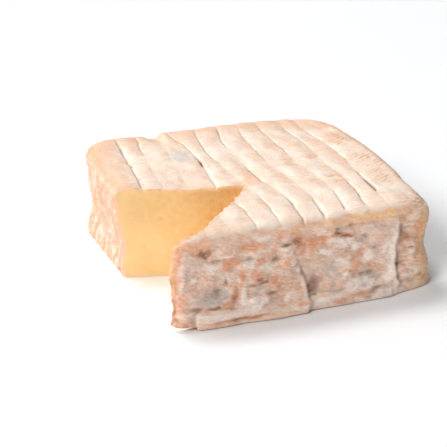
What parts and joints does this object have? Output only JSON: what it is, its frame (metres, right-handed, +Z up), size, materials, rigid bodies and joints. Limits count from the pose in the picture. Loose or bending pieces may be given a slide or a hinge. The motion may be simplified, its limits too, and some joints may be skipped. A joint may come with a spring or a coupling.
{
  "type": "soft cheese block",
  "caption": "Square soft cheese with a washed rind and a ridged top, with one wedge cut out from the left side to the middle.",
  "frame": {"origin": "middle of the foot, on the surface that the cheese stands on", "axes": "+Z up, out of the ridged top; -Y out of the whole front rind; -X out of the side with the notch; the ridges run along Y"},
  "size_m": [0.11, 0.1082, 0.0367],
  "materials": {
    "rind": "matt cream to orange rind"
  },
  "bodies": {
    "root": {"cheese_block": "rind"}
  },
  "joints": []
}
